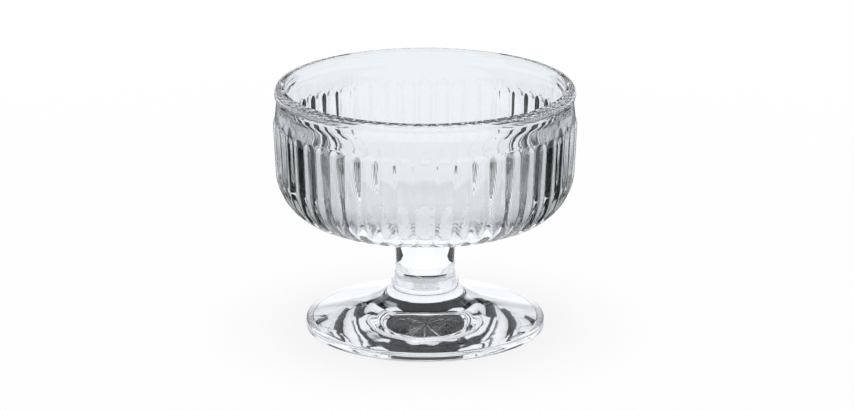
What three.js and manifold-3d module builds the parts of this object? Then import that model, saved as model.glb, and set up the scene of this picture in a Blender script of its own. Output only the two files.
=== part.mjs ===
// Ice cream coupe of clear pressed glass: a reeded bowl, a short solid stem and a wide foot.
// Millimetres, +Z up. The axis of the glass is the z axis and the foot rests on z 0.
import * as THREE from 'three';
import { mergeVertices } from 'three/addons/utils/BufferGeometryUtils.js';
import Module from 'manifold-3d';

// Heights of the three pieces, stacked from the table up
const FOOT_HEIGHT = 15.4;
const STEM_LENGTH = 20.1;
const BOWL_HEIGHT = 47.9;

// Rim: a rounded lip over a shallow hollow, which flares again into a plain band
const RIM_RADIUS = 50;
const RIM_OUTER_ROUND = 2;
const RIM_INNER_ROUND = 0.8;
const LIP_EDGE = 0.6;
const LIP_ROUND = 2.5;
const HOLLOW_DROP = 5;
const HOLLOW_DEPTH = 0.65;
const HOLLOW_ROUND = 9;

// Outside of the bowl between the ribs, from the arch tops down and under to the stem
const BAND_INSET = 0.05;
const RIB_TOP_DROP = 10.7;
const SIDE_TAPER = 1.45;
const UNDERSIDE_RISE = 4;
const CORNER_ROUND = 18;

// Ribs: rounded reeds with round arched tops, which narrow and flatten as they turn under the bowl
const RIB_COUNT = 52;
const RIB_RISE = 0.7;
const GROOVE_WIDTH = 0.5;
const RIB_END_INSET = 18;
const RIB_FADE = 11;

// Inside of the bowl: a flared mouth over a wall that tapers to a dished floor
const RIM_WALL = 3.7;
const INNER_FLARE = 0.7;
const INNER_FLARE_DROP = 5;
const INNER_FLARE_ROUND = 9;
const INNER_TAPER = 1.3;
const INNER_ROUND = 11.5;
const FLOOR_THICKNESS = 5;
const FLOOR_DISH = 1;

// Stem: a solid cylinder that spreads a little at its base
const STEM_RADIUS = 10.1;
const STEM_SPREAD = 0.95;
const STEM_SPREAD_HEIGHT = 3.6;
const STEM_SPREAD_ROUND = 12;

// Foot: a neck that flares in two steps into a disc, on a narrow ring round a shallow hollow
const SEAM_LEDGE = 0.35;
const FOOT_RADIUS = 40.2;
const NECK_RUN = 1.2;
const NECK_DROP = 2.8;
const NECK_ROUND = 6;
const FLARE_RUN = 5.4;
const FLARE_DROP = 3.4;
const FLARE_ROUND = 14;
const EDGE_HEIGHT = 3.1;
const EDGE_TOP_ROUND = 1.4;
const EDGE_LOW_ROUND = 1;
const REST_RING_INSET = 3;
const REST_RING_STEP = 0.4;
const DISH_DEPTH = 1.1;

// Smoothness of the faceted surfaces
const RIB_FACETS = 4;
const ARCH_ROWS = 3;
const DISH_ROWS = 4;
const CAVITY_FACETS = 72;
const FOOT_FACETS = 72;
const STEM_FACETS = 48;
const ARC_STEP = THREE.MathUtils.degToRad(15);
const FLARE_ARC_STEP = THREE.MathUtils.degToRad(7.5);
const EDGE_ARC_STEP = THREE.MathUtils.degToRad(30);
const LIP_ARC_STEP = THREE.MathUtils.degToRad(30);

// Looks of the glass
const GLASS_ROUGHNESS = 0.03;
const GLASS_OPACITY = 0.4;
const BOWL_COLOUR = 0xe9f0ef;
const STEM_COLOUR = 0xeff4f3;
const FOOT_COLOUR = 0xe4ecea;

const STEM_SEAM_Z = FOOT_HEIGHT;
const BOWL_SEAM_Z = STEM_SEAM_Z + STEM_LENGTH;
const RIM_Z = BOWL_SEAM_Z + BOWL_HEIGHT;
const BAND_RADIUS = RIM_RADIUS - BAND_INSET;

const wasm = await Module();
wasm.setup();

function corner(radius, height, round = 0, step = ARC_STEP) {
  return { point: new THREE.Vector2(radius, height), round, step };
}

// Points along a half section given as corners, each with its own rounding
function outline(corners) {
  const points = [];
  corners.forEach(({ point, round, step }, i) => {
    if (round === 0) {
      points.push(point);
      return;
    }
    const before = corners[i - 1].point.clone().sub(point);
    const after = corners[i + 1].point.clone().sub(point);
    const room = Math.min(before.length(), after.length());
    before.normalize();
    after.normalize();
    const halfAngle = Math.acos(THREE.MathUtils.clamp(before.dot(after), -1, 1)) / 2;
    const reach = Math.min(round / Math.tan(halfAngle), room);
    const radius = reach * Math.tan(halfAngle);
    const centre = before.clone().add(after).setLength(radius / Math.sin(halfAngle)).add(point);
    const start = before.clone().multiplyScalar(reach).add(point).sub(centre);
    const end = after.clone().multiplyScalar(reach).add(point).sub(centre);
    const turn = Math.atan2(start.cross(end), start.dot(end));
    const steps = Math.max(1, Math.round(Math.abs(turn) / step));
    for (let k = 0; k <= steps; k += 1) {
      points.push(start.clone().rotateAround(new THREE.Vector2(), (turn * k) / steps).add(centre));
    }
  });
  return points;
}

// A turned shape with its axis along z
function turned(points, facets) {
  return new THREE.LatheGeometry(points, facets).rotateX(Math.PI / 2);
}

// Shared vertices are merged, and the folded triangles on the axis are left out
function solid(geometry) {
  geometry.deleteAttribute('normal');
  geometry.deleteAttribute('uv');
  const merged = mergeVertices(geometry);
  const triangles = [];
  for (let k = 0; k < merged.index.count; k += 3) {
    const [a, b, c] = [0, 1, 2].map((i) => merged.index.getX(k + i));
    if (a !== b && b !== c && c !== a) {
      triangles.push(a, b, c);
    }
  }
  return new wasm.Manifold(new wasm.Mesh({
    numProp: 3,
    vertProperties: new Float32Array(merged.attributes.position.array),
    triVerts: new Uint32Array(triangles),
  }));
}

function toGeometry(body) {
  const { vertProperties, triVerts } = body.getMesh();
  const geometry = new THREE.BufferGeometry();
  geometry.setAttribute('position', new THREE.BufferAttribute(vertProperties, 3));
  geometry.setIndex(new THREE.BufferAttribute(triVerts, 1));
  geometry.computeVertexNormals();
  return geometry;
}

function glassPiece(name, geometry, colour) {
  const material = new THREE.MeshStandardMaterial({
    color: colour,
    roughness: GLASS_ROUGHNESS,
    metalness: 0,
    transparent: true,
    opacity: GLASS_OPACITY,
  });
  const mesh = new THREE.Mesh(geometry, material);
  mesh.name = name;
  return mesh;
}

// Height of the rib surface over the ground between ribs, at a turn angle, radius and height
const RIB_PITCH = (2 * Math.PI) / RIB_COUNT;
const ARCH_TOP_Z = RIM_Z - RIB_TOP_DROP;
const RIB_END_RADIUS = BAND_RADIUS - RIB_END_INSET;

function ribHalfWidth(radius) {
  return (radius * RIB_PITCH - GROOVE_WIDTH * (radius / BAND_RADIUS)) / 2;
}

function ribHeight(angle, radius, z) {
  const half = ribHalfWidth(radius);
  const across = (angle - RIB_PITCH * Math.round(angle / RIB_PITCH)) * radius;
  const above = Math.max(0, z - (ARCH_TOP_Z - half));
  const crown = Math.max(0, 1 - (across ** 2 + above ** 2) / half ** 2);
  const fade = THREE.MathUtils.clamp((radius - RIB_END_RADIUS) / RIB_FADE, 0, 1);
  return RIB_RISE * (radius / BAND_RADIUS) * crown * fade;
}

// Outside of the bowl: a turned blank whose wall is pushed out into ribs
function bowlBlank() {
  const archStart = ARCH_TOP_Z - ribHalfWidth(BAND_RADIUS);
  const cornerRadius = BAND_RADIUS - SIDE_TAPER;
  const cornerZ = BOWL_SEAM_Z + UNDERSIDE_RISE;
  const sideRadius = (z) => BAND_RADIUS - (SIDE_TAPER * (ARCH_TOP_Z - z)) / (ARCH_TOP_Z - cornerZ);
  const corners = [
    corner(0, BOWL_SEAM_Z),
    corner(STEM_RADIUS, BOWL_SEAM_Z),
    corner(cornerRadius, cornerZ, CORNER_ROUND),
  ];
  for (let k = 0; k <= ARCH_ROWS; k += 1) {
    const z = archStart + (ARCH_TOP_Z - archStart) * Math.sin((k / ARCH_ROWS) * (Math.PI / 2));
    corners.push(corner(sideRadius(z), z));
  }
  corners.push(
    corner(RIM_RADIUS - HOLLOW_DEPTH, RIM_Z - HOLLOW_DROP, HOLLOW_ROUND),
    corner(RIM_RADIUS, RIM_Z - RIM_OUTER_ROUND - LIP_EDGE, LIP_ROUND),
    corner(RIM_RADIUS, RIM_Z, RIM_OUTER_ROUND, LIP_ARC_STEP),
    corner(0, RIM_Z),
  );
  const points = outline(corners);
  const facets = RIB_COUNT * RIB_FACETS;
  const blank = new THREE.LatheGeometry(points, facets);
  const position = blank.attributes.position;
  for (let i = 0; i <= facets; i += 1) {
    const angle = ((i % facets) * 2 * Math.PI) / facets;
    points.forEach((point, j) => {
      const ribbed = point.y <= ARCH_TOP_Z && point.x > RIB_END_RADIUS;
      if (ribbed) {
        const along = points[j + 1].clone().sub(points[j - 1]).normalize();
        const rise = ribHeight(angle, point.x, point.y);
        const radius = point.x + along.y * rise;
        const z = point.y - along.x * rise;
        const k = i * points.length + j;
        position.setXYZ(k, radius * Math.sin(angle), z, radius * Math.cos(angle));
      }
    });
  }
  return blank.rotateX(Math.PI / 2);
}

// Inside of the bowl, left by the plunger: smooth, with a rounded lip edge and a dished floor
function bowlCavity() {
  const mouthRadius = RIM_RADIUS - RIM_WALL;
  const wallRadius = mouthRadius - INNER_FLARE;
  const clearRadius = mouthRadius + RIM_INNER_ROUND;
  const clearZ = RIM_Z + RIM_INNER_ROUND;
  const floorZ = BOWL_SEAM_Z + FLOOR_THICKNESS;
  const wall = outline([
    corner(0, floorZ),
    corner(wallRadius - INNER_TAPER, floorZ + FLOOR_DISH, INNER_ROUND),
    corner(wallRadius, RIM_Z - INNER_FLARE_DROP, INNER_FLARE_ROUND),
    corner(mouthRadius, RIM_Z, RIM_INNER_ROUND, LIP_ARC_STEP),
    corner(clearRadius, RIM_Z),
    corner(clearRadius, clearZ),
    corner(0, clearZ),
  ]);
  return turned(wall, CAVITY_FACETS);
}

function bowl() {
  const body = solid(bowlBlank()).subtract(solid(bowlCavity()));
  return glassPiece('bowl', toGeometry(body), BOWL_COLOUR);
}

function stem() {
  const points = outline([
    corner(0, STEM_SEAM_Z),
    corner(STEM_RADIUS + STEM_SPREAD, STEM_SEAM_Z),
    corner(STEM_RADIUS, STEM_SEAM_Z + STEM_SPREAD_HEIGHT, STEM_SPREAD_ROUND, FLARE_ARC_STEP),
    corner(STEM_RADIUS, BOWL_SEAM_Z),
    corner(0, BOWL_SEAM_Z),
  ]);
  return glassPiece('stem', turned(points, STEM_FACETS), STEM_COLOUR);
}

function foot() {
  const neckRadius = STEM_RADIUS + STEM_SPREAD + SEAM_LEDGE;
  const flareZ = STEM_SEAM_Z - NECK_DROP;
  const ringInner = FOOT_RADIUS - REST_RING_INSET;
  const dishRadius = ringInner - REST_RING_STEP;
  const dish = [];
  for (let k = 0; k <= DISH_ROWS; k += 1) {
    const out = k / DISH_ROWS;
    const rise = (DISH_DEPTH - REST_RING_STEP) * (1 - out ** 2);
    dish.push(corner(dishRadius * out, REST_RING_STEP + rise));
  }
  const points = outline([
    ...dish,
    corner(ringInner, 0),
    corner(FOOT_RADIUS, 0, EDGE_LOW_ROUND, EDGE_ARC_STEP),
    corner(FOOT_RADIUS, EDGE_HEIGHT, EDGE_TOP_ROUND, EDGE_ARC_STEP),
    corner(neckRadius + NECK_RUN + FLARE_RUN, flareZ - FLARE_DROP, FLARE_ROUND, FLARE_ARC_STEP),
    corner(neckRadius + NECK_RUN, flareZ, NECK_ROUND, FLARE_ARC_STEP),
    corner(neckRadius, STEM_SEAM_Z),
    corner(0, STEM_SEAM_Z),
  ]);
  return glassPiece('foot', turned(points, FOOT_FACETS), FOOT_COLOUR);
}

const coupe = new THREE.Group();
coupe.name = 'ice_cream_coupe';
coupe.add(bowl(), stem(), foot());

export default coupe;
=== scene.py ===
"""Ice cream coupe of clear pressed glass, standing on a pale floor in soft studio light."""

import math

import bmesh
import bpy
import numpy as np
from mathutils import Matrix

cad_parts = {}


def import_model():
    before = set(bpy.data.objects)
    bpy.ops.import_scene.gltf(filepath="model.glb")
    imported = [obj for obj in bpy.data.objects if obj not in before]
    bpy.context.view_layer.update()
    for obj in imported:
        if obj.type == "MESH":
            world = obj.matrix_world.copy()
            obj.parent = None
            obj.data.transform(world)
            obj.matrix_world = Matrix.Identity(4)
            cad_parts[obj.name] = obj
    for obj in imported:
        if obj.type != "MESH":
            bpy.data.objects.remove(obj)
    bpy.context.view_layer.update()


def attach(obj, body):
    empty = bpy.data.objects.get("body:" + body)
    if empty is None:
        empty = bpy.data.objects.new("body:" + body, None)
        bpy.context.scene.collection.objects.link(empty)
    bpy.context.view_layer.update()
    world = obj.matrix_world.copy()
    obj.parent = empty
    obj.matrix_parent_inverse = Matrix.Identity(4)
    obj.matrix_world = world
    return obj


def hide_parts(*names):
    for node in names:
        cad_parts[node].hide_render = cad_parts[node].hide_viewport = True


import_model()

MM = 0.001

# Sizes of the coupe are in millimetres. Heights of the seams and the rim
STEM_SEAM_Z = 15.4
BOWL_SEAM_Z = 35.5
RIM_Z = 83.4

# Rim, with its lip and the hollow of the plain band under it
RIM_RADIUS = 50.0
RIM_OUTER_ROUND = 2.0
RIM_INNER_ROUND = 0.8
LIP_HEIGHT = 2.6
LIP_ROUND = 2.5
HOLLOW_DROP = 5.0
HOLLOW_DEPTH = 0.65
HOLLOW_ROUND = 9.0

# Outside of the bowl between the ribs
BAND_RADIUS = 49.95
ARCH_TOP_Z = 72.7
SHOULDER_ROUND = 14.0
SIDE_TAPER = 1.45
UNDERSIDE_RISE = 4.0
CORNER_ROUND = 18.0

# Ribs
RIB_COUNT = 52
RIB_PITCH = 2 * math.pi / RIB_COUNT
RIB_RISE = 0.69
GROOVE_WIDTH = 0.5
RIB_END_RADIUS = 31.95
RIB_FADE = 11.0

# Inside of the bowl
RIM_WALL = 3.7
INNER_FLARE = 0.7
INNER_FLARE_DROP = 5.0
INNER_FLARE_ROUND = 9.0
INNER_TAPER = 1.3
INNER_ROUND = 11.5
FLOOR_THICKNESS = 5.0
FLOOR_DISH = 1.0

# Stem
STEM_RADIUS = 10.1
STEM_SPREAD = 0.95
STEM_SPREAD_HEIGHT = 3.6
STEM_SPREAD_ROUND = 12.0

# Foot
NECK_RADIUS = 11.4
NECK_RUN, NECK_DROP, NECK_ROUND = 1.2, 2.8, 6.0
FLARE_RUN, FLARE_DROP, FLARE_ROUND = 5.4, 3.4, 14.0
FOOT_RADIUS = 40.2
EDGE_HEIGHT = 3.1
EDGE_TOP_ROUND = 1.4
EDGE_LOW_ROUND = 1.0
RING_INSET = 3.0
RING_STEP = 0.4
DISH_DEPTH = 1.1

# Fineness of the surfaces: counts, then degrees, then millimetres
RIB_SEGMENTS = 12
PLAIN_SEGMENTS = 256
DISH_ROWS = 24
LEAST_ARC_STEPS = 2
ARC_STEP = 4.5
SHARP_ANGLE = 40.0
WALL_STEP = 3.0
ARCH_STEP = 0.2
DOUBLED = 0.005
CLOSE = 0.001

# Glass, with its ripples and wear in metres
GLASS_IOR = 1.52
GLASS_TINT = (0.972, 0.99, 0.972, 1)
GLASS_STREAK = (0.99, 0.997, 0.993, 1)
STREAK_SCALE, STREAK_DETAIL = 40.0, 2.0
RIPPLE_SCALE, RIPPLE_DETAIL = 90.0, 1.0
RIPPLE_STRENGTH = 0.12
RIPPLE_DEPTH = 0.001
WEAR_HEIGHT = 0.0003
WEAR_ROUGHNESS = 0.25

# Camera of the photograph
IMAGE_WIDTH = 854
FOCAL_PIXELS = 3590
SENSOR = 36.0
CAMERA_DISTANCE = 1.2
CAMERA_ELEVATION = math.radians(17.24)
CAMERA_REACH = 100.0
AIM_HEIGHT = 0.04177
AXIS_OFFSET_PIXELS = 1.85

# Stage, in metres: a pale floor. In the glass its white is painted light, brighter than white near
# the coupe, and changes a little behind the coupe to painted shade, dimmer and bluer
WHITE = (1, 1, 1, 1)
FLOOR_SIZE = 12.0
FLOOR_DROP = 0.0006
FLOOR_PAINT = (0.9, 0.9, 0.9, 1)
FLOOR_NEAR, FLOOR_FAR = 0.065, 0.13
# Painted light near the coupe and painted shade behind it, both seen only in the glass
FLOOR_NEAR_PAINTED_LIGHT = (1.05, 1.06, 1.12, 1)
FLOOR_FAR_PAINTED_SHADE = (0.865, 0.895, 0.945, 1)
SHADOW_SHARE = 0.12
SHADOW_NEAR, SHADOW_FAR = 0.06, 0.4

# The right one of two dark cards on the floor, grey in a patch that lies 45 degrees to the side
CARD_OUTLINE = [
    (0.059, -0.1),
    (0.33, -0.1),
    (0.33, 0.12),
    (0.2, 0.29),
    (0.096, 0.335),
    (0.06, 0.062),
    (0.038, 0.06),
    (0.038, 0.024),
    (0.059, 0.02),
]
CARD_COLOUR = (0.012, 0.014, 0.015, 1)
CARD_GREY = (0.45, 0.46, 0.47, 1)
GREY_TURN = math.radians(45)
GREY_IN, GREY_OUT = math.radians(13), math.radians(18)
GREY_NEAR, GREY_FAR, GREY_EDGE = 0.11, 0.205, 0.01

# Dim room with light panels: degrees to either side of straight behind, degrees of height, strength
ROOM_COLOUR = (0.90, 0.95, 1.0, 1)
ROOM_DARK = 0.012
PANEL_EDGE = math.radians(1)
PANELS = [
    (-5, 10, -5, 10, 1.0),
    (19, 63, 21, 32.5, 1.0),
    (31.5, 66, 7.5, 15, 1.0),
    (62, 110, -5, 10, 0.85),
    (110, 185, -5, 20, 1.0),
]

# Soft lamp overhead
LAMP_HEIGHT = 1.2
LAMP_SIZE = 0.7
LAMP_POWER = 14.0

# How often light may be bent or reflected on its way through the glass
BOUNCES = 40
GLOSSY_BOUNCES = 20
SEAM_BOUNCES = 32


def rounded(corners):
    """Points along a half section given as (radius, height[, rounding]) corners."""
    points = []
    for i, (radius, height, *rest) in enumerate(corners):
        point = np.array((radius, height), float)
        if not rest:
            points.append(point)
            continue
        before = np.array(corners[i - 1][:2]) - point
        after = np.array(corners[i + 1][:2]) - point
        room = min(np.linalg.norm(before), np.linalg.norm(after))
        before = before / np.linalg.norm(before)
        after = after / np.linalg.norm(after)
        half = math.acos(np.clip(before @ after, -1, 1)) / 2
        reach = min(rest[0] / math.tan(half), room)
        bisector = (before + after) / np.linalg.norm(before + after)
        centre = point + bisector * reach / math.cos(half)
        start = point + before * reach - centre
        end = point + after * reach - centre
        turn = math.atan2(start[0] * end[1] - start[1] * end[0], start @ end)
        steps = max(LEAST_ARC_STEPS, round(abs(math.degrees(turn)) / ARC_STEP))
        for angle in np.linspace(0, turn, steps + 1):
            cos, sin = math.cos(angle), math.sin(angle)
            out = cos * start[0] - sin * start[1]
            up = sin * start[0] + cos * start[1]
            points.append(centre + (out, up))
    return points


def divided(points, low, high):
    """The same line with points close together between two heights of the outside."""
    line = [points[0]]
    for a, b in zip(points, points[1:]):
        fine = a[1] < b[1] and b[1] > low and a[1] < high
        parts = max(1, math.ceil(math.dist(a, b) / (ARCH_STEP if fine else WALL_STEP)))
        line += [a + (b - a) * k / parts for k in range(1, parts + 1)]
    return line


def joined(*lines):
    """Lines put end to end, with doubled points left out."""
    points = [np.array(p, float) for line in lines for p in line]
    kept = points[:1]
    for p in points[1:]:
        if math.dist(p, kept[-1]) > DOUBLED:
            kept.append(p)
    return np.array(kept)


def even_angles(count):
    """Angles evenly spaced round the axis."""
    return np.arange(count) * 2 * math.pi / count


def rib_angles():
    """Angles round the bowl, closer together near the grooves between the ribs."""
    half = RIB_SEGMENTS // 2
    within = np.sin(np.arange(-half, half) / half * math.pi / 2) * RIB_PITCH / 2
    return (np.arange(RIB_COUNT)[:, None] * RIB_PITCH + within).ravel()


def rib_height(angles, radius, height):
    """How far the ribs stand out of the ground at one row of the bowl."""
    scale = radius / BAND_RADIUS
    half = (radius * RIB_PITCH - GROOVE_WIDTH * scale) / 2
    across = ((angles + RIB_PITCH / 2) % RIB_PITCH - RIB_PITCH / 2) * radius
    above = max(0.0, height - (ARCH_TOP_Z - half))
    crown = np.clip(1 - (across ** 2 + above ** 2) / half ** 2, 0, None)
    fade = np.clip((radius - RIB_END_RADIUS) / RIB_FADE, 0, 1)
    return RIB_RISE * scale * crown * fade


def turned(name, profile, angles, ribs=False):
    """A closed body turned from a half section that starts and ends on the axis."""
    count, rows = len(angles), len(profile) - 2
    along = np.gradient(profile, axis=0)
    along /= np.linalg.norm(along, axis=1)[:, None]
    last_rib_row = int(np.argmax(profile[:, 1] >= ARCH_TOP_Z)) if ribs else 0
    verts = [(0, 0, profile[0][1])]
    for i in range(1, rows + 1):
        radius, height = np.full(count, profile[i][0]), np.full(count, profile[i][1])
        if i <= last_rib_row and profile[i][0] > RIB_END_RADIUS:
            rise = rib_height(angles, *profile[i])
            radius = radius + along[i][1] * rise
            height = height - along[i][0] * rise
        row = np.stack([radius * np.sin(angles), -radius * np.cos(angles), height], -1)
        verts += row.tolist()
    verts.append((0, 0, profile[-1][1]))

    def at(i, j):
        return 1 + i * count + j % count

    faces = []
    for j in range(count):
        faces.append((0, at(0, j + 1), at(0, j)))
        for i in range(rows - 1):
            faces.append((at(i, j), at(i, j + 1), at(i + 1, j + 1), at(i + 1, j)))
        faces.append((at(rows - 1, j), at(rows - 1, j + 1), len(verts) - 1))
    mesh = bpy.data.meshes.new(name)
    mesh.from_pydata((np.array(verts) * MM).tolist(), [], faces)
    mesh.update()
    body = bmesh.new()
    body.from_mesh(mesh)
    bmesh.ops.recalc_face_normals(body, faces=body.faces)
    body.to_mesh(mesh)
    body.free()
    mesh.shade_smooth()
    mesh.set_sharp_from_angle(angle=math.radians(SHARP_ANGLE))
    piece = bpy.data.objects.new(name, mesh)
    bpy.context.scene.collection.objects.link(piece)
    return piece


def bowl_profile():
    """Half section of the bowl: underside, ribbed side, rim and inside."""
    inner = RIM_RADIUS - RIM_WALL
    floor_z = BOWL_SEAM_Z + FLOOR_THICKNESS
    corner_z = BOWL_SEAM_Z + UNDERSIDE_RISE
    arch_z = ARCH_TOP_Z - BAND_RADIUS * RIB_PITCH / 2
    arch_inset = SIDE_TAPER * (ARCH_TOP_Z - arch_z) / (ARCH_TOP_Z - corner_z)
    line = rounded([
        (0, BOWL_SEAM_Z),
        (STEM_RADIUS, BOWL_SEAM_Z),
        (BAND_RADIUS - SIDE_TAPER, corner_z, CORNER_ROUND),
        (BAND_RADIUS - arch_inset, arch_z),
        (BAND_RADIUS, ARCH_TOP_Z, SHOULDER_ROUND),
        (RIM_RADIUS - HOLLOW_DEPTH, RIM_Z - HOLLOW_DROP, HOLLOW_ROUND),
        (RIM_RADIUS, RIM_Z - LIP_HEIGHT, LIP_ROUND),
        (RIM_RADIUS, RIM_Z, RIM_OUTER_ROUND),
        (inner, RIM_Z, RIM_INNER_ROUND),
        (inner - INNER_FLARE, RIM_Z - INNER_FLARE_DROP, INNER_FLARE_ROUND),
        (inner - INNER_FLARE - INNER_TAPER, floor_z + FLOOR_DISH, INNER_ROUND),
        (0, floor_z),
    ])
    return joined(divided(line, arch_z, ARCH_TOP_Z))


def stem_profile():
    """Half section of the stem, spreading at its base."""
    return joined(rounded([
        (0, STEM_SEAM_Z),
        (STEM_RADIUS + STEM_SPREAD, STEM_SEAM_Z),
        (STEM_RADIUS, STEM_SEAM_Z + STEM_SPREAD_HEIGHT, STEM_SPREAD_ROUND),
        (STEM_RADIUS, BOWL_SEAM_Z),
        (0, BOWL_SEAM_Z),
    ]))


def foot_profile():
    """Half section of the foot: hollow underside, resting ring, edge, flare and neck."""
    ring_inner = FOOT_RADIUS - RING_INSET
    out = np.linspace(0, 1, DISH_ROWS + 1)
    dish_z = RING_STEP + (DISH_DEPTH - RING_STEP) * (1 - out ** 2)
    dish = np.stack([(ring_inner - RING_STEP) * out, dish_z], -1)
    flare_z = STEM_SEAM_Z - NECK_DROP
    top = rounded([
        (ring_inner, 0),
        (FOOT_RADIUS, 0, EDGE_LOW_ROUND),
        (FOOT_RADIUS, EDGE_HEIGHT, EDGE_TOP_ROUND),
        (NECK_RADIUS + NECK_RUN + FLARE_RUN, flare_z - FLARE_DROP, FLARE_ROUND),
        (NECK_RADIUS + NECK_RUN, flare_z, NECK_ROUND),
        (NECK_RADIUS, STEM_SEAM_Z),
        (0, STEM_SEAM_Z),
    ])
    return joined(dish, top)


def new_material(name):
    """An empty node material and its tree."""
    material = bpy.data.materials.new(name)
    material.use_nodes = True
    material.node_tree.nodes.clear()
    return material, material.node_tree


def add(tree, kind, values=(), **settings):
    """A new node. A socket given for an input is linked to it, anything else is set on it."""
    node = tree.nodes.new("ShaderNode" + kind)
    for name, setting in settings.items():
        setattr(node, name, setting)
    for name, value in dict(values).items():
        if isinstance(value, bpy.types.NodeSocket):
            tree.links.new(value, node.inputs[name])
        else:
            node.inputs[name].default_value = value
    return node


def maths(tree, operation, *values):
    """The result of one operation on numbers."""
    return add(tree, "Math", dict(enumerate(values)), operation=operation).outputs[0]


def map_range(tree, value, low, high, at_low, at_high):
    """A number going from at_low to at_high as value goes from low to high."""
    return add(tree, "MapRange", {
        "Value": value,
        "From Min": low,
        "From Max": high,
        "To Min": at_low,
        "To Max": at_high,
    }).outputs[0]


def between(tree, value, low, high, edge):
    """1 between two values, falling softly to 0 outside them."""
    rise = map_range(tree, value, low - edge, low + edge, 0, 1)
    fall = map_range(tree, value, high - edge, high + edge, 1, 0)
    return maths(tree, "MULTIPLY", rise, fall)


def blended(tree, share, first, second):
    """Colour going from the first to the second as share goes from 0 to 1."""
    colour_a, colour_b, colour_out = 6, 7, 2
    inputs = {"Factor": share, colour_a: first, colour_b: second}
    return add(tree, "Mix", inputs, data_type="RGBA").outputs[colour_out]


def distance(tree, place):
    """How far a place is from the middle of the frame."""
    return add(tree, "VectorMath", {0: place}, operation="LENGTH").outputs["Value"]


def sideways(tree, axes):
    """Angle to either side of straight behind."""
    return maths(tree, "ABSOLUTE", maths(tree, "ARCTAN2", axes["X"], axes["Y"]))


def clear_glass():
    """Fire-polished pressed glass: faint ripples and streaks, and a resting ring worn dull."""
    material, tree = new_material("clear_glass")
    place = add(tree, "TexCoord").outputs["Object"]
    height = add(tree, "SeparateXYZ", {0: place}).outputs["Z"]
    ripple = add(tree, "TexNoise", {
        "Vector": place,
        "Scale": RIPPLE_SCALE,
        "Detail": RIPPLE_DETAIL,
    }).outputs["Fac"]
    streaks = add(tree, "TexNoise", {
        "Vector": place,
        "Scale": STREAK_SCALE,
        "Detail": STREAK_DETAIL,
    }).outputs["Fac"]
    bump = add(tree, "Bump", {
        "Height": ripple,
        "Strength": RIPPLE_STRENGTH,
        "Distance": RIPPLE_DEPTH,
    })
    glass = add(tree, "BsdfPrincipled", {
        "Base Color": blended(tree, streaks, GLASS_TINT, GLASS_STREAK),
        "Roughness": map_range(tree, height, 0, WEAR_HEIGHT, WEAR_ROUGHNESS, 0),
        "Normal": bump.outputs[0],
        "IOR": GLASS_IOR,
        "Transmission Weight": 1,
    })
    add(tree, "OutputMaterial", {"Surface": glass.outputs[0]})
    return material


def fused_seam():
    """Faces along which pieces are fused: light passes them unbent."""
    material, tree = new_material("fused_seam")
    clear = add(tree, "BsdfTransparent")
    add(tree, "OutputMaterial", {"Surface": clear.outputs[0]})
    return material


def dress(piece, node, glass):
    """Gives a piece its glass and puts it in the node's place."""
    piece.data.materials.append(glass)
    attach(piece, "root")
    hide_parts(node)


def fuse(piece, seam, height, radius):
    """Makes a seam of a piece's flat faces at one height, within a radius of the axis."""
    mesh = piece.data
    if seam.name not in mesh.materials:
        mesh.materials.append(seam)
    for face in mesh.polygons:
        corners = [mesh.vertices[v].co for v in face.vertices]
        level = all(abs(c.z - height * MM) < CLOSE * MM for c in corners)
        if level and all(c.xy.length < (radius + CLOSE) * MM for c in corners):
            face.material_index = mesh.materials.find(seam.name)


def flat(name, outline, height):
    """A flat stage piece with the given outline, lying at one height."""
    mesh = bpy.data.meshes.new(name)
    mesh.from_pydata([(x, y, height) for x, y in outline], [], [tuple(range(len(outline)))])
    piece = bpy.data.objects.new(name, mesh)
    bpy.context.scene.collection.objects.link(piece)
    return piece


def floor():
    """Pale floor: white to the camera, with a faint shadow near the coupe. In the glass it shows
    painted light near the coupe and painted shade behind it.
    """
    half = FLOOR_SIZE / 2
    corners = [(-half, -half), (half, -half), (half, half), (-half, half)]
    piece = flat("floor", corners, -FLOOR_DROP)
    material, tree = new_material("pale_floor")
    rays = add(tree, "LightPath").outputs
    place = add(tree, "NewGeometry").outputs["Position"]
    away = distance(tree, place)
    behind = add(tree, "SeparateXYZ", {0: place}).outputs["Y"]
    behind = map_range(tree, behind, FLOOR_NEAR, FLOOR_FAR, 0, 1)
    # Painted light and shade seen in the glass: brighter than white near the coupe, dimmer and
    # bluer behind it
    glass_painted_light = blended(tree, behind, FLOOR_NEAR_PAINTED_LIGHT, FLOOR_FAR_PAINTED_SHADE)
    white = blended(tree, rays["Is Camera Ray"], glass_painted_light, WHITE)
    glow = add(tree, "Emission", {"Color": white})
    paint = add(tree, "BsdfDiffuse", {"Color": FLOOR_PAINT})
    unshaded = map_range(tree, away, SHADOW_NEAR, SHADOW_FAR, 1 - SHADOW_SHARE, 1)
    to_camera = maths(tree, "MULTIPLY", rays["Is Camera Ray"], unshaded)
    to_glass = maths(tree, "MAXIMUM", rays["Is Glossy Ray"], rays["Is Transmission Ray"])
    share = maths(tree, "MAXIMUM", to_glass, to_camera)
    mix = add(tree, "MixShader", {0: share, 1: paint.outputs[0], 2: glow.outputs[0]})
    add(tree, "OutputMaterial", {"Surface": mix.outputs[0]})
    piece.data.materials.append(material)


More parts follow.
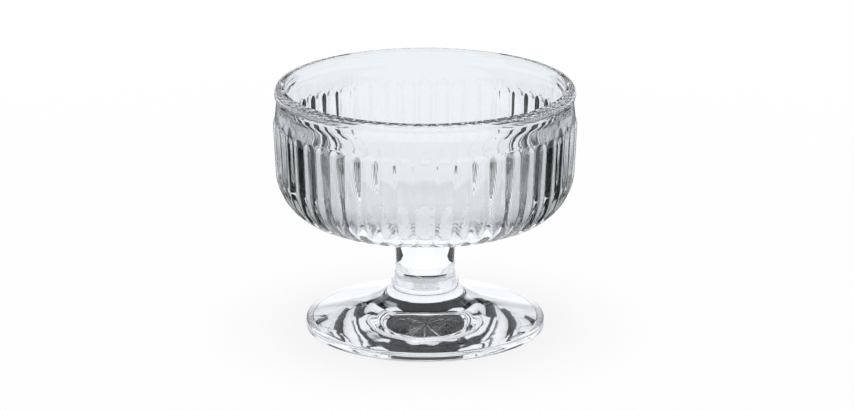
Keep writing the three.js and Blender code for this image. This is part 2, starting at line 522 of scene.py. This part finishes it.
def cards():
    """Dark cards lying left and right, seen only in the glass, which give it its dark lines."""
    material, tree = new_material("black_card")
    place = add(tree, "NewGeometry").outputs["Position"]
    axes = add(tree, "SeparateXYZ", {0: place}).outputs
    aside = maths(tree, "SUBTRACT", sideways(tree, axes), GREY_TURN)
    across = map_range(tree, maths(tree, "ABSOLUTE", aside), GREY_IN, GREY_OUT, 1, 0)
    along = between(tree, distance(tree, place), GREY_NEAR, GREY_FAR, GREY_EDGE)
    grey = maths(tree, "MULTIPLY", across, along)
    dark = add(tree, "Emission", {"Color": blended(tree, grey, CARD_COLOUR, CARD_GREY)})
    add(tree, "OutputMaterial", {"Surface": dark.outputs[0]})
    for side, sign in (("left", -1), ("right", 1)):
        card = flat("card_" + side, [(sign * x, y) for x, y in CARD_OUTLINE], 0)
        card.data.materials.append(material)
        card.visible_camera = False
        card.visible_diffuse = False
        card.visible_shadow = False


def world():
    """White to the camera. In the glass it is a dim room with light panels."""
    sky = bpy.data.worlds.new("studio")
    bpy.context.scene.world = sky
    sky.use_nodes = True
    tree = sky.node_tree
    background = tree.nodes["Background"]
    direction = add(tree, "TexCoord").outputs["Generated"]
    axes = add(tree, "SeparateXYZ", {0: direction}).outputs
    turn = sideways(tree, axes)
    height = maths(tree, "ARCSINE", axes["Z"])
    light = ROOM_DARK
    for *limits, strength in PANELS:
        near, far, bottom, top = (math.radians(angle) for angle in limits)
        across = between(tree, turn, near, far, PANEL_EDGE)
        up = between(tree, height, bottom, top, PANEL_EDGE)
        panel = maths(tree, "MULTIPLY", maths(tree, "MULTIPLY", across, up), strength)
        light = maths(tree, "MAXIMUM", panel, light)
    camera_ray = add(tree, "LightPath").outputs["Is Camera Ray"]
    light = maths(tree, "MAXIMUM", light, camera_ray)
    tree.links.new(light, background.inputs["Strength"])
    colour = blended(tree, camera_ray, ROOM_COLOUR, WHITE)
    tree.links.new(colour, background.inputs["Color"])


def lamp():
    """A soft lamp overhead, which lights the floor round the glass."""
    data = bpy.data.lights.new("soft_lamp", "AREA")
    data.shape = "DISK"
    data.size = LAMP_SIZE
    data.energy = LAMP_POWER
    light = bpy.data.objects.new("soft_lamp", data)
    light.location = (0, 0, LAMP_HEIGHT)
    light.visible_glossy = False
    light.visible_transmission = False
    bpy.context.scene.collection.objects.link(light)


def camera():
    """The photograph's view, from the front and a little above."""
    data = bpy.data.cameras.new("camera")
    data.sensor_width = SENSOR
    data.lens = FOCAL_PIXELS / IMAGE_WIDTH * SENSOR
    data.shift_x = AXIS_OFFSET_PIXELS / IMAGE_WIDTH
    data.clip_end = CAMERA_REACH
    view = bpy.data.objects.new("camera", data)
    bpy.context.scene.collection.objects.link(view)
    back = CAMERA_DISTANCE * math.cos(CAMERA_ELEVATION)
    up = AIM_HEIGHT + CAMERA_DISTANCE * math.sin(CAMERA_ELEVATION)
    view.location = (0, -back, up)
    view.rotation_euler = (math.pi / 2 - CAMERA_ELEVATION, 0, 0)
    bpy.context.scene.camera = view


bowl = turned("coupe_bowl", bowl_profile(), rib_angles(), ribs=True)
stem = turned("coupe_stem", stem_profile(), even_angles(PLAIN_SEGMENTS))
foot = turned("coupe_foot", foot_profile(), even_angles(PLAIN_SEGMENTS))

glass = clear_glass()
dress(bowl, "bowl", glass)
dress(stem, "stem", glass)
dress(foot, "foot", glass)

# The foot's own top stays a face of glass, which gives the dark oval seen in the foot
seam = fused_seam()
fuse(bowl, seam, BOWL_SEAM_Z, STEM_RADIUS)
fuse(stem, seam, BOWL_SEAM_Z, STEM_RADIUS)
fuse(stem, seam, STEM_SEAM_Z, STEM_RADIUS + STEM_SPREAD)

floor()
cards()
world()
lamp()
camera()

scene = bpy.context.scene
scene.view_settings.view_transform = "Standard"
scene.cycles.max_bounces = BOUNCES
scene.cycles.transmission_bounces = BOUNCES
scene.cycles.glossy_bounces = GLOSSY_BOUNCES
scene.cycles.transparent_max_bounces = SEAM_BOUNCES
